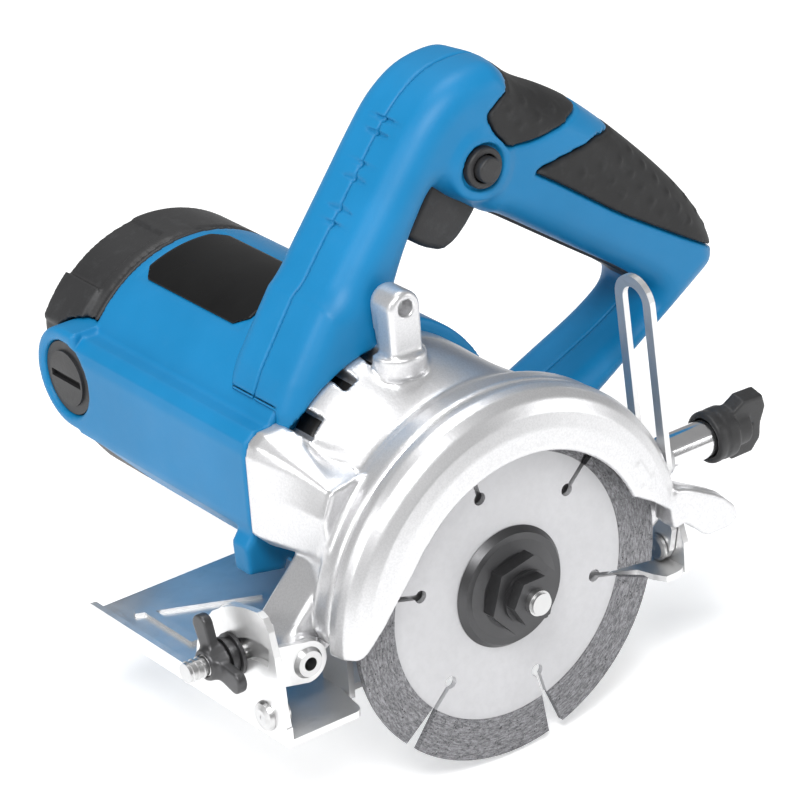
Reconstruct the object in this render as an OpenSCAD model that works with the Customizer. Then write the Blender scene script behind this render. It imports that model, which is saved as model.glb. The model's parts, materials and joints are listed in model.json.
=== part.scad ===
// Hand-held stone and tile cutter: base with bevel and depth settings, geared
// universal motor, cast blade guard and closed D handle.
// X runs along the cut towards the user, Y along the spindle from the blade
// towards the motor, Z up. Origin: underside of the base, below the spindle.

/* [Blade] */
// Diameter of the diamond blade
blade_d = 110; // [105:1:112]
// Bore of the blade
blade_bore = 16; // [15:0.5:20]
// Thickness of the steel core
core_t = 1.8; // [1.4:0.1:2]
// Thickness of the diamond segments
seg_t = 2.2; // [1.8:0.1:2.6]
// Radial depth of the segments
seg_h = 13; // [8:0.5:14]
// Number of segments
seg_n = 6; // [6:1:12]

/* [Base] */
// Height of the spindle above the underside of the base
spindle_z = 20; // [20:0.5:24]
// Sheet thickness of the base
base_t = 2; // [1.5:0.1:2.2]
// Front edge of the base
base_x0 = -83; // [-86:1:-82]
// Rear edge of the base
base_x1 = 68; // [68:1:72]
// Blade side edge of the base
base_y0 = -3; // [-5:0.5:-2]
// Motor side edge of the base
base_y1 = 102; // [98:1:108]
// Height of the turned up front edge
lip_h = 6; // [4:0.5:8]
// Height of the bevel axis above the underside
bevel_z = 6.5; // [6:0.5:7]
// Side position of the bevel axis
bevel_y = 7; // [6:0.5:8]
// Radius of the arc slot of the front quadrant
quad_r = 20.3; // [20:0.1:21]

/* [Drive] */
// Teeth of the spindle gear
gear_teeth = 36; // [34:1:36]
// Teeth of the armature pinion
pinion_teeth = 17; // [17:1:18]
// Gear module
gear_m = 0.95; // [0.9:0.01:0.95]
// Gear face width
gear_w = 9; // [7:0.5:9]
// Outer radius of the stator
stator_r = 31.5; // [30:0.5:31.5]

/* [Handle] */
// Width of the handle across its two shells
handle_w = 36; // [34:1:38]
// Side position of the handle centre plane
handle_y = 52; // [51:0.5:53]

/* [Hidden] */
eps = 0.01;
S = [0, spindle_z];                 // spindle axis in X, Z
M = [-10.9, spindle_z + 22.7];      // armature axis in X, Z
C = [-13.6, spindle_z + 30.1];      // centre of the motor housing's round back
Rc = 45.3;                          // radius of that round back
P = [-66.7, 17];                  // depth pivot in X, Z
Q = [66.6, 25];                     // guide bar hinge in X, Z
y_if = 41;                          // joint between gear housing and motor housing
y_cap = 134.4;                      // joint between motor housing and end cap
y_end = 161;                        // outer face of the end cap
bul_x = -60.5;                      // outer face of the brush side bulge
bul_y = 138.5; bul_z = 60.5; bul_r = 16.5;
bolt_y = 10.5; bolt_z = 34;       // depth lock bolt axis
guard_r = 63.2;
stud_a = 46;                        // angle of the bevel stud about the bevel axis

function arc(c, r, a0, a1, n) = [for (i = [0:n]) let (a = a0 + (a1 - a0) * i / n) [c[0] + r * cos(a), c[1] + r * sin(a)]];

// profile in X, Z pulled from y0 to y1
module xz(y0, y1) { translate([0, y1, 0]) rotate([90, 0, 0]) linear_extrude(y1 - y0) children(); }
// profile in Y, Z pulled from x0 to x1
module yz(x0, x1) { translate([x0, 0, 0]) rotate([90, 0, 90]) linear_extrude(x1 - x0) children(); }
// cylinder along Y
module cy(c, y0, y1, r, fn = 48) { translate([c[0], y1, c[1]]) rotate([90, 0, 0]) cylinder(h = y1 - y0, r = r, $fn = fn); }
module cy2(c, y0, y1, ra, rb, fn = 48) { translate([c[0], y1, c[1]]) rotate([90, 0, 0]) cylinder(h = y1 - y0, r1 = rb, r2 = ra, $fn = fn); }
// cylinder along X at y, z
module cx(y, z, x0, x1, r, fn = 40) { translate([x0, y, z]) rotate([0, 90, 0]) cylinder(h = x1 - x0, r = r, $fn = fn); }

// ---------- base ----------
module base_plate() {
  color("silver") difference() {
    union() {
      // flat sheet with the blade opening and the gear housing opening
      difference() {
        linear_extrude(base_t) polygon(concat(
          [[base_x0, base_y0], [-59, base_y0]], arc([-59, base_y0 + 3], 3, -90, 0, 4), [[-55, base_y0 + 9], [-54, 10.5], [48, 10.5], [54.4, 6.5], [56, 1]],
          [[58, base_y0]], arc([base_x1 - 6, base_y0 + 6], 6, -90, 0, 5), [[base_x1, base_y1 - 6]], arc([base_x1 - 6, base_y1 - 6], 6, 0, 90, 5), [[base_x0, base_y1]]));
        translate([-30, 5, -1]) cube([58, 43, 5]);
      }
      // turned up front edge with rounded outer corner
      yz(base_x0, base_x0 + base_t) polygon(concat([[base_y0, 0], [base_y1, 0]], arc([base_y1 - 3, lip_h - 3], 3, 0, 90, 4), [[base_y0, lip_h]]));
      // front quadrant
      yz(base_x0, base_x0 + base_t) polygon([[-2.6, 0], [44, 0], [43, 7], [40.6, 17], [37.8, 22.3], [35.1, 26.3], [30.8, 31], [25.2, 34.5], [19.8, 37], [13.1, 39], [7, 39.9], [4.2, 39], [2, 35.2], [0.2, 27.6], [-1.2, 15], [-2.6, 6]]);
      // front wall of the blade opening
      yz(-54, -52) polygon([[7, 0], [20, 0], [20, 17], [10, 17], [7, 15]]);
      // rear bevel upright
      yz(base_x1 - base_t, base_x1) polygon(concat([[base_y0 + 1, 0], [34, 0], [34, 7], [20, 8], [16, 12]], arc([bevel_y + 0.6, bevel_z + 5.9], 8.4, 20, 150, 10), [[base_y0 + 1, 10]]));
      // stiffening ribs
      translate([-73.4, 90.5, base_t - eps]) rotate([0, 0, -26.2]) translate([0, -1.5, 0]) cube([39, 3, 1.2]);
      translate([-71.4, 62.8, base_t - eps]) cube([3, 25, 1.2]);
    }
    // bevel pivot holes
    cx(bevel_y, bevel_z, base_x0 - 1, base_x0 + base_t + 1, 3.06);
    cx(bevel_y, bevel_z, base_x1 - base_t - 1, base_x1 + 1, 3.06);
    // arc slot for the bevel stud
    yz(base_x0 - 1, base_x0 + base_t + 1) polygon(concat(arc([bevel_y, bevel_z], quad_r - 3.3, 36.6, 100.6, 16), arc([bevel_y, bevel_z], quad_r + 3.3, 100.6, 36.6, 16)));
  }
}

module bevel_rivets() {
  color("gainsboro") for (s = [0, 1]) {
    xo = s == 0 ? base_x0 : base_x1;
    d = s == 0 ? 1 : -1;
    translate([xo, bevel_y, bevel_z]) rotate([0, 90 * d, 0]) rotate_extrude($fn = 48)
      polygon([[0, -2.2], [2.5, -2.1], [4.2, -1.4], [4.6, -0.4], [4.6, -0.05], [3, -0.05], [3, 4.6], [4.3, 4.6], [4.3, 5.6], [3.3, 6.2], [0, 6.4]]);
  }
}

// ---------- tilting frame ----------
module front_tilt_bracket() {
  color("lightgray") difference() {
    union() {
      yz(base_x0 + base_t + 0.3, base_x0 + base_t + 2.3) polygon(concat([[4.2, 3.4], [7, 2.5], [33, 2.5], [35, 12]], arc([bevel_y + 12, bevel_z + 13], 16.4, 10, 100, 12), [[6, 35], [3, 24], [2, 12], [2.2, 6.5]]));
      // ears of the depth pivot
      for (y = [8, 31]) xz(y, y + 2) polygon(concat([[base_x0 + base_t + 2.25, 26]], arc(P, 6.6, 90, -90, 14), [[base_x0 + base_t + 2.25, 13]]));
    }
    cx(bevel_y, bevel_z, base_x0, base_x0 + base_t + 4, 3.05);
    // clearance hole of the stud's square neck
    cx(bevel_y + quad_r * cos(stud_a), bevel_z + quad_r * sin(stud_a), base_x0, base_x0 + base_t + 4, 3.02);
    cy(P, 5, 36, 3.25);
  }
}

module rear_tilt_bracket() {
  color("lightgray") difference() {
    union() {
      yz(base_x1 - base_t - 2.3, base_x1 - base_t - 0.3) polygon([[4.2, 3.4], [7, 2.4], [21, 2.4], [21, 21.5], [4.8, 21.5], [2.2, 19], [0.6, 14], [1.4, 10], [2.2, 6.5]]);
      // ears of the guide hinge
      for (y = [2.2, 18]) xz(y, y + 2) polygon(concat(arc(Q, 3.4, 100, -50, 8), [[base_x1 - base_t - 2.3, 20.4], [base_x1 - base_t - 2.3, 26]]));
    }
    cx(bevel_y, bevel_z, base_x1 - 8, base_x1, 3.05);
    cy(Q, 0, 24, 1.55);
  }
}

module bevel_stud() {
  a = stud_a; y = bevel_y + quad_r * cos(a); z = bevel_z + quad_r * sin(a);
  color("silver") {
    cx(y, z, base_x0 - 17, base_x0 + base_t + 2.3, 2.98);
    cx(y, z, base_x0 + base_t + 2.3, base_x0 + base_t + 4.8, 5.2);
    for (i = [0:5]) translate([base_x0 - 16.4 + i * 1.9, y, z]) rotate([0, 90, 0]) rotate_extrude($fn = 24) polygon([[2.5, 0], [3.3, 0.5], [3.3, 0.8], [2.5, 1.3]]);
  }
}

module stud_washers() {
  a = stud_a; y = bevel_y + quad_r * cos(a); z = bevel_z + quad_r * sin(a);
  color("dimgray") for (w = [[base_x0 - 1.3, 1.2, 6.6], [base_x0 - 2.9, 1.5, 5.4], [base_x0 - 4.2, 1.2, 6.2]])
    difference() { cx(y, z, w[0], w[0] + w[1], w[2]); cx(y, z, w[0] - 1, w[0] + 3, 3.06); }
}

module wing_nut() {
  a = stud_a; y = bevel_y + quad_r * cos(a); z = bevel_z + quad_r * sin(a); x = base_x0 - 4.35;
  color("gray") difference() {
    union() {
      translate([x, y, z]) rotate([0, -90, 0]) rotate_extrude($fn = 40) polygon([[0, 0], [5.6, 0], [5.4, 2.2], [4.6, 6.4], [0, 6.4]]);
      for (r = [70, 190]) translate([x - 1.2, y, z]) rotate([r, 0, 0]) yz(-4.6, -1.4) translate([0, 0]) polygon(concat([[3.5, -2.6]], arc([11.5, 0], 3.6, -80, 80, 8), [[3.5, 2.6]]));
    }
    translate([x + 1, y, z]) rotate([0, -90, 0]) cylinder(h = 10, r = 3.42, $fn = 36);
  }
}

module depth_pivot_pin() {
  color("gainsboro") difference() {
    union() { cy(P, 6.9, 34.1, 3.2); cy2(P, 6.6, 7.95, 4, 4.9); cy2(P, 33.05, 34.4, 4.9, 4); }
    cy(P, 3, 36, 2.1);
  }
}

module guide_hinge_pin() { color("silver") { cy(Q, 1.9, 20.4, 1.5, 24); cy(Q, 1.2, 2.15, 2.4, 24); cy(Q, 20.05, 21.2, 2.4, 24); } }

// slotted bar that leads the depth setting
module depth_guide_bar() {
  yb = 3; yt = 19.4; w = (yt - yb) / 2; ym = (yb + yt) / 2; zt = 96.5;
  color("gray") difference() {
    union() {
      translate([Q[0], 0, Q[1]]) rotate([0, -4, 0]) translate([-Q[0], 0, -Q[1]]) yz(Q[0] - 1, Q[0] + 1)
        difference() {
          polygon(concat([[yb + 1.9, Q[1]], [yt - 2, Q[1]], [yt - 2, Q[1] + 4.2], [yt, Q[1] + 8]], arc([ym, zt - w], w, 0, 180, 16), [[yb, Q[1] + 8], [yb + 1.9, Q[1] + 4.2]]));
          polygon(concat(arc([ym, bolt_z], w - 3.6, 180, 360, 10), arc([ym, zt - w], w - 3.6, 0, 180, 14)));
        }
      cy(Q, 5.2, 17.1, 3.2, 32);
    }
    cy(Q, 0, 24, 1.56, 32);
  }
}

// ---------- cast housing ----------
function motor2d() = concat(
  arc(C, Rc, 146.3, -22, 34), arc(M, stator_r + 3.3, -46, -138, 14),
  [[bul_x + 3.5, 41.2], [bul_x + 0.6, 43.5], [bul_x, 46], [bul_x, 69], [bul_x + 0.9, 72.6], [bul_x + 3.8, 75.2]]);
// recessed neck of the gear housing at the motor joint
function neck2d() = concat(arc(C, Rc - 3.6, 143, -18, 30), arc(M, stator_r + 2.3, -50, -138, 12), [[-50, 42]]);

module gear_housing() {
  color("lightgray") difference() {
    union() {
      xz(29, y_if) polygon(neck2d());
      // loft between the blade chamber and the neck
      hull() {
        xz(29, 31) polygon(neck2d());
        xz(12.4, 15) polygon(concat(arc(S, guard_r - 2, 160, 4, 28), [[46, 14], [18, 5], [-18, 5], [-44, 24]]));
      }
      // back wall of the blade chamber
      xz(4.2, 12.5) polygon(concat(arc(S, guard_r - 0.3, 172, 3, 40), [[61.8, 18], [48, 9], [22, 1.5], [-22, 1.5], [-36, 9], [-48, 19.5], [-60, 20.5]]));
      xz(2.25, 4.3) difference() { polygon(arc(S, guard_r, 172, 0, 40)); polygon(arc(S, guard_r - 3.4, 190, -12, 40)); }
      // lobe in front of the brush side bulge
      hull() {
        xz(36, y_if) polygon([[bul_x, 44], [bul_x, 69], [bul_x + 1.4, 73], [bul_x + 5, 75.4], [-46, 76], [-40, 40], [bul_x + 4, 40]]);
        xz(12.5, 14) polygon([[-52, 46], [-52, 62], [-48, 66], [-40, 62], [-40, 36]]);
      }
      // gear case below the spindle
      cy(S, 4.2, 36, 19.4, 64);
      // arm and eye of the depth pivot
      hull() {
        cy(P, 10.4, 30.6, 7, 32);
        translate([-56, 12, 33]) cube([12, 17, 16]);
      }
      // post of the water tube
      hull() { cy([-14.4, 107.4], 20.6, 27.4, 5.4, 32); translate([-20.4, 19.4, 86]) cube([12, 11, 6]); }
      // boss of the depth lock
      hull() { translate([46, 5, 24]) cube([8, 18, 20]); cx(bolt_y, bolt_z, 58, 62.3, 6.4, 32); }
    }
    // room for the depth bar at full swing
    translate([61.9, 1, 8]) cube([5, 21, 19.5]);
    // chamber of the spindle gear and the pinion
    cy(S, 16.2, 27.8, 18.4, 64);
    cy(M, 16.2, 27.8, 9.6, 40);
    cy(S, 6, 12.6, 13, 48);
    cy(S, 3, 36.5, 7.2, 40);
    cy(S, 3, 6.1, 9, 40);
    cy(S, 27.6, 33.4, 9.5, 48);
    // seat of the front armature bearing and fan room
    cy(M, 27, 29, 7.4, 40);
    cy(M, 28.8, 36.2, 11, 48);
    cy(M, 36, y_if + 1, 30, 64);
    // pivot bore and room for the bracket ears
    cy(P, 7, 34, 3.25);
    cy(P, 7.4, 10.4, 7.3); cy(P, 30.6, 33.6, 7.3);
    // water tube bore
    cy([-14.4, 107.4], 18, 25.5, 2.6);
    // depth lock stud bore
    cx(bolt_y, bolt_z, 50, 66, 3.02);
    // screws of the motor joint
    for (p = joint_screws) { cy(p, 26, y_if + 1, 1.95, 24); cy(p, 10, 29.2, 3.9, 24); }
    // outlet slots at the joint
    for (v = [[138.5, 7.5, 9], [115, 5, 20], [99, 5, 20]]) translate([C[0], 0, C[1]]) rotate([0, -(v[0] - 90), 0]) {
      translate([-v[1] / 2, 28.5, Rc - 9]) cube([v[1], 13, 18]);
      translate([-v[1] / 2, 36.2, Rc - v[2]]) cube([v[1], 5.3, 15]);
    }
    // underside is cut clear of the work
    translate([-60, -20, -20]) cube([140, 80, 20.6]);
  }
}
joint_screws = [[-46, 54], [13, 74], [-33.2, 74.7], [20.5, 52]];

module blade_guard() {
  // rolled hood over the blade
  g = guard_r;
  color("gainsboro") difference() {
    union() {
      translate([S[0], 0, S[1]]) rotate([90, 0, 0]) rotate([0, 0, 0]) rotate_extrude(angle = 178, $fn = 120)
        polygon([[g - 3.4, -2.2], [g, -2.2], [g, 1], [g - 0.9, 4], [g - 3, 6.6], [g - 6.4, 8.9], [g - 11, 10], [45.2, 10.2], [44.9, 8.2], [g - 11.5, 8], [g - 7.6, 7], [g - 4.8, 5], [g - 3.4, 2]]);
      // rear nozzle lug
      xz(-8, -2.7) polygon([[58, 33], [64, 31.5], [77, 24.5], [82, 19.5], [83, 15.5], [80.5, 13], [70, 13], [62.5, 20.5], [57, 20.5]]);
      xz(-2.8, 0.7) polygon([[58, 33], [64, 31.5], [77, 24.5], [79, 22.4], [62.5, 22.4], [57, 21]]);
    }
    // flared mouth at both ends of the inner lip
    xz(-14, 2) polygon([[-34.7, 49.1], [-45.1, 37], [-55, 24.5], [-59.4, 20], [-59.4, 10], [59.4, 10], [58.8, 21], [56.5, 27], [49, 32], [42.6, 37], [0, 20]]);
    // hollow of the lug
    translate([65, -6.6, 10]) cube([13, 5, 9]);
  }
  // raised arrow of rotation
  color("gainsboro") translate([S[0], 0, S[1]]) for (k = [0:2]) rotate([0, -(32 - k * 5), 0]) translate([50.4, -10.5, -1.2]) cube([k == 2 ? 2.6 : 1.6, 1.4, 2.4]);
}

module spindle_bearings() {
  color("silver") {
    difference() { cy(S, 6.1, 12.5, 12.95); cy(S, 5, 13, 5); }
    difference() { cy(S, 27.9, 33.3, 9.45); cy(S, 27, 34, 4); }
  }
}
module armature_bearings() {
  color("silver") {
    difference() { cy(M, 29.1, 36, 10.95); cy(M, 28, 37, 4); }
    difference() { cy(M, y_end - 9, y_end - 3.6, 8.45); cy(M, y_end - 12, y_end, 3.5); }
  }
}

// ---------- spindle ----------
module spindle_shaft() {
  color("silver") {
    cy(S, 4.2, 27.5, 4.98); cy(S, 27.4, 33.8, 3.98);
    cy(S, -15.5, 4.2, 3.98); cy(S, -16.6, -15.5, 3.4);
    cy(S, 12.9, 16.4, 6.6);
  }
}
// involute outline of a spur gear, one tooth centred on angle a0
function inv(rb, t) = [rb * (cos(t) + t * PI / 180 * sin(t)), rb * (sin(t) - t * PI / 180 * cos(t))];
function rot2(p, a) = [p[0] * cos(a) - p[1] * sin(a), p[0] * sin(a) + p[1] * cos(a)];
function gear2d(z, m, a0, back) = let (rp = m * z / 2, rb = rp * cos(20), ra = rp + m, rf = rp - 1.25 * m,
    ipt = (tan(20) - 20 * PI / 180) * 180 / PI, ht = 90 / z - back, tm = acos(rb / ra), tmax = tan(tm) * 180 / PI,
    t0 = rf > rb ? sqrt(pow(rf / rb, 2) - 1) * 180 / PI : 0)
  [for (i = [0:z - 1]) let (a = a0 + i * 360 / z)
    each concat([rot2([rf * cos(180 / z * 0.86), -rf * sin(180 / z * 0.86)], a)],
      [for (k = [0:4]) rot2(rot2(inv(rb, t0 + (tmax - t0) * k / 4), -(ht + ipt)), a)],
      [for (k = [4:-1:0]) let (q = rot2(inv(rb, t0 + (tmax - t0) * k / 4), -(ht + ipt))) rot2([q[0], -q[1]], a)],
      [rot2([rf * cos(180 / z * 0.86), rf * sin(180 / z * 0.86)], a)])];
mesh_a = atan2(M[1] - S[1], M[0] - S[0]);
module spindle_gear() {
  color("gray") difference() {
    union() { xz(17.2, 17.2 + gear_w) translate(S) polygon(gear2d(gear_teeth, gear_m, mesh_a, 0.25)); cy(S, 16.5, 27.3, 9); }
    cy(S, 10, 32, 5.0);
  }
}
module drive_pinion() {
  color("dimgray") difference() {
    xz(17, 17 + gear_w + 0.6) translate(M) polygon(gear2d(pinion_teeth, gear_m, mesh_a + 180 + 180 / pinion_teeth, 0.4));
    cy(M, 10, 32, 3.5);
  }
}
module inner_flange() {
  color("dimgray") difference() { union() { cy2(S, 1.1, 3.4, 19, 18); cy(S, -0.9, 1.2, 7.9); cy(S, 3.3, 4.15, 8); } cy(S, -3, 8, 4); }
}
module outer_flange() {
  color("dimgray") difference() {
    union() { cy2(S, -3.2, -1.1, 17.6, 19.2); cy2(S, -4.4, -3.2, 12, 15.5); xz(-9, -4.3) polygon(arc(S, 12.6, 12, 372, 6)); }
    cy(S, -12, 3, 4);
    cy(S, -1.15, 0, 8);
  }
}
module flange_nut() {
  color("gray") difference() {
    union() { cy(S, -10, -9, 8.2); xz(-13.6, -10) polygon(arc(S, 7.9, 0, 360, 6)); }
    cy(S, -15, -8, 4);
  }
}
module blade_core() {
  rc = blade_d / 2 - seg_h;
  color("lightgray") difference() {
    cy(S, -core_t / 2, core_t / 2, rc, 96);
    cy(S, -3, 3, blade_bore / 2);
    // gullets with keyholes between the segments
    for (i = [0:seg_n - 1]) translate([S[0], 0, S[1]]) rotate([0, -(i * 360 / seg_n + 45), 0]) {
      translate([rc - 9, -3, -0.8]) cube([12, 6, 1.6]);
      translate([rc - 9, 3, 0]) rotate([90, 0, 0]) cylinder(h = 6, r = 2, $fn = 24);
    }
  }
}
module blade_segments() {
  r0 = blade_d / 2 - seg_h; r1 = blade_d / 2; n = 360 / seg_n;
  color("dimgray") for (i = [0:seg_n - 1]) translate([S[0], 0, S[1]]) rotate([0, -(i * n + 45), 0]) rotate([90, 0, 0]) translate([0, 0, -seg_t / 2])
    linear_extrude(seg_t) polygon(concat(arc([0, 0], r0 + 0.04, 1.6, n - 1.6, 24), arc([0, 0], r1, n - 2.9, 2.9, 14)));
}

// ---------- armature ----------
module armature_shaft() { color("silver") { cy(M, 16.6, 27.4, 3.45); cy(M, 27.4, 36.4, 3.95); cy(M, 36.4, 146.6, 4.9); cy(M, 146.5, y_end - 3.6, 3.45); } }
module armature_core() {
  color("dimgray") difference() {
    xz(72, 114) polygon([for (i = [0:11]) let (a = i * 30) each [[M[0] + 18.8 * cos(a - 12), M[1] + 18.8 * sin(a - 12)], [M[0] + 18.8 * cos(a), M[1] + 18.8 * sin(a)], [M[0] + 18.8 * cos(a + 12), M[1] + 18.8 * sin(a + 12)],
      [M[0] + 13.5 * cos(a + 12.6), M[1] + 13.5 * sin(a + 12.6)], [M[0] + 13.5 * cos(a + 17.4), M[1] + 13.5 * sin(a + 17.4)]]]);
    cy(M, 60, 120, 4.95);
  }
}
module armature_windings() {
  color("peru") for (y = [[64.5, 71.9], [114.1, 121.5]]) difference() { cy2(M, y[0], y[1], y[0] < 70 ? 13 : 17.4, y[0] < 70 ? 17.4 : 13); cy(M, 50, 125, 5); }
}
module commutator() {
  color("orange") difference() { cy(M, 130, 145, 11.5); cy(M, 120, 146, 5); for (i = [0:11]) translate([M[0], 129, M[1]]) rotate([0, i * 30 + 15, 0]) translate([10.7, 0, -0.3]) cube([2, 17, 0.6]); }
}
module cooling_fan() {
  color("ivory") difference() {
    union() {
      cy(M, 41.6, 43.2, 28.6, 64); cy(M, 41.6, 51, 8);
      for (i = [0:13]) translate([M[0], 43.1, M[1]]) rotate([0, i * 360 / 14, 0]) translate([9, 0, -0.6]) rotate([0, -14, 0]) cube([18.5, 6.4, 1.3]);
    }
    cy(M, 40, 52, 5);
  }
}

// ---------- field ----------
module stator_core() {
  color("gray") difference() {
    cy(M, 72, 114, stator_r, 64);
    cy(M, 70, 116, 19.6, 64);
    for (s = [0, 180]) translate([M[0], 0, M[1]]) rotate([0, s, 0]) translate([-10, 70, 17]) cube([20, 46, 8]);
  }
}
module field_windings() {
  color("chocolate") for (s = [0, 180]) translate([M[0], 0, M[1]]) rotate([0, s, 0]) {
    translate([-9.6, 65, 19.9]) cube([19.2, 56, 4.7]);
  }
}
cap_screws_at = [[-42.5, 67], [20.5, 68], [-28, 80], [27, 52]];
brush_y = 138.5; brush_a = 21;
module brush_at(s) { translate([M[0], brush_y, M[1]]) rotate([0, s > 0 ? 180 + brush_a : brush_a, 0]) rotate([0, 90, 0]) children(); }

module motor_housing() {
  color("dodgerblue") difference() {
    union() {
      xz(y_if, y_cap) polygon(motor2d());
      // brush bulge carried on past the end cap joint
      yz(bul_x, -47) polygon(concat([[y_cap - 1, 44]], arc([bul_y, bul_z], bul_r, -90, 90, 20), [[y_cap - 1, 77]]));
      // foot with the assembly screw below the gear housing
      difference() { translate([-61, 41, 29]) cube([14, 9, 16]); translate([-70, 36, 22]) rotate([0, -40, 0]) cube([20, 20, 24]); }
    }
    cy(M, y_if - 1, 53.5, 30, 64);
    cy(M, 53, 140, stator_r + 0.05, 64);
    // brush cap seat and brush tube
    cx(bul_y, bul_z, bul_x - 1, bul_x + 3.4, 12);
    brush_at(1) cylinder(h = 47.5, r = 6.6, $fn = 36);
    brush_at(-1) cylinder(h = 47.5, r = 8.05, $fn = 36);
    // label recess
    translate([C[0], 0, C[1]]) rotate([90, 0, 0]) rotate([0, 0, 77.8]) rotate_extrude(angle = 41, $fn = 180) polygon([[Rc - 0.85, -130.2], [Rc + 2, -130.2], [Rc + 2, -75.8], [Rc - 0.85, -75.8]]);
    for (p = joint_screws) cy(p, y_if - 1, 53.2, 1.95, 24);
    for (p = cap_screws_at) cy(p, 112, y_cap + 1, 1.95, 24);
  }
}
module end_cap() {
  color("dimgray") difference() {
    union() {
      xz(y_cap, y_cap + 22) polygon(concat(arc(C, Rc, 152, -24, 34), arc(M, stator_r + 3.3, -46, -138, 12), [[-52, 40], [-54, 56]]));
      hull() {
        xz(y_cap + 21.9, y_cap + 22) polygon(concat(arc(C, Rc, 152, -24, 26), arc(M, stator_r + 3.3, -46, -138, 10), [[-50, 40]]));
        xz(y_end - 1, y_end) polygon(concat(arc(C, Rc - 5, 152, -24, 26), arc(M, stator_r - 3, -46, -138, 10)));
      }
    }
    // room for the brush bulge
    translate([-80, y_cap - 1, 42]) cube([33.1, 22.4, 35.2]);
    cy(M, y_cap - 1, y_end - 9.6, 29, 64);
    cy(M, y_end - 10, y_end - 3.2, 8.5, 48);
    brush_at(1) cylinder(h = 47.5, r = 6.6, $fn = 36);
    brush_at(-1) cylinder(h = 47.5, r = 8.05, $fn = 36);
    for (p = cap_screws_at) { cy(p, y_cap - 1, y_end + 1, 1.95, 24); cy(p, y_end - 8, y_end + 1, 3.8, 24); }
    // cooling inlet slots
    for (i = [-3:3]) translate([C[0] + i * 8 - 1.5, y_end - 12, C[1] + 10]) cube([3, 14, 20]);
    for (i = [-2:2]) translate([M[0] + i * 8 - 1.5, y_end - 12, M[1] - 24]) cube([3, 14, 11]);
  }
}
module label_plate() {
  color("black") translate([C[0], 0, C[1]]) rotate([90, 0, 0]) rotate([0, 0, 78]) rotate_extrude(angle = 40.6, $fn = 180) polygon([[Rc - 0.8, -130], [Rc + 0.35, -130], [Rc + 0.35, -76], [Rc - 0.8, -76]]);
}

// ---------- brushes ----------
module brush_holders() { color("goldenrod") for (s = [-1, 1]) brush_at(s) difference() { translate([0, 0, 13]) cylinder(h = s > 0 ? 33 : 20.5, r = 6.5, $fn = 36); translate([-3.2, -4, 12]) cube([6.4, 8, 12.5]); translate([0, 0, 12]) cylinder(h = 40, r = 3.1, $fn = 24); } }
module carbon_brushes() { color("black") for (s = [-1, 1]) brush_at(s) translate([-3.1, -3.9, 11.7]) cube([6.2, 7.8, 12]); }
module brush_springs() { color("silver") for (s = [-1, 1]) brush_at(s) for (k = [0:(s > 0 ? 6 : 3)]) translate([0, 0, 24.2 + k * 3]) rotate_extrude($fn = 16) translate([2.3, 0]) circle(r = 0.45, $fn = 6); }
module brush_caps() {
  color("black") {
    difference() { union() { cx(bul_y, bul_z, bul_x + 1.2, bul_x + 3.3, 11.9); cx(bul_y, bul_z, bul_x + 0.3, bul_x + 1.3, 9); } translate([bul_x - 0.5, bul_y - 8, bul_z - 1.2]) cube([2.6, 16, 2.4]); }
    brush_at(-1) difference() { translate([0, 0, 33.8]) cylinder(h = 3, r = 7.95, $fn = 36); translate([-7, -1, 35.8]) cube([14, 2, 3]); }
  }
}

// ---------- handle ----------
function nd(n, d) = [0.8 * n + 0.6 * d, -0.6 * n + 0.8 * d];
grip_out = [[-49.6, 76], [-46, 83.5], [-38, 95.5], [-25.7, 113], [-14.6, 127], [2, 148.4], [8, 155], [14, 159.5], [19.4, 162.2], [25.3, 163.6], [32, 164], [37.5, 162.6], [41.6, 159.6], [46.9, 154.6], [52.4, 150.8], [61, 146], [69.4, 140.2], [75, 135.6], [82, 129],
  [93, 118], [101, 109.8], [107.5, 102.4], [112.8, 95], [116.6, 88], [118.6, 81.6], [118.6, 76.4], [116.2, 72.4], [110.8, 68.8], [101, 62.2], [86, 52.8], [71.4, 43.6], [28, 18.4], [8, 30], [-20, 60]];
grip_in = [[-20, 60], [-9, 92], [-6.4, 102], [-2.6, 110.5], [1.4, 118.3], [10.3, 131.9], [13.6, 130.2], [30, 117.2], [35.4, 115.6], [51.6, 104], [69.4, 91.3], [82, 82.4], [89.4, 76.2], [91.8, 72.6], [91.4, 68.8], [88, 65.6], [79, 60.6], [56.9, 51.4], [28, 38.5]];
module grip2d(i = 0) { offset(delta = -i) difference() { polygon(grip_out); polygon(grip_in); } }
// one shell from the centre plane outwards, edges rounded in steps
module shell_layers() {
  h = handle_w / 2;
  for (l = [[-0.01, h - 8.4, 0], [h - 8.4, h - 5.8, 0.4], [h - 5.8, h - 3.6, 1.3], [h - 3.6, h - 2, 2.7], [h - 2, h - 0.9, 4.3], [h - 0.9, h, 6.2]])
    linear_extrude(l[1]) grip2d(l[2]);
}
module side(s) { translate([0, handle_y, 0]) rotate([90, 0, 0]) scale([1, 1, s]) children(); }
pad1 = [[29.3, 150], [30.9, 144.5], [35.8, 138.2], [45.5, 137.3], [58.8, 139], [69, 139.3], [82, 150], [60, 176], [46, 172], [41, 157.5], [34, 153.5]];
pad2 = [[44.8, 127.4], [59.7, 129.5], [69.8, 131], [81, 128.5], [96, 142], [140, 100], [134, 77.5], [118, 79], [112.8, 81.8], [99.8, 89.6], [76.7, 104.2], [54.6, 120.6]];
strip2d = [[35.4, 112], [51.6, 100], [90, 72], [93.5, 77], [84, 84.8], [53.2, 107], [37, 119]];
module pad_zone(z, g) { difference() { xz(20, 90) offset(delta = g) polygon(z); translate([0, handle_y + handle_w / 2 - 3.4, 0]) rotate([90, 0, 0]) linear_extrude(handle_w - 6.8) offset(delta = -3 - g) polygon(grip_out); } }
handle_screw_at = [[-24, 104], [22, 154], [66, 122], [104, 83], [76, 52.6]];
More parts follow.
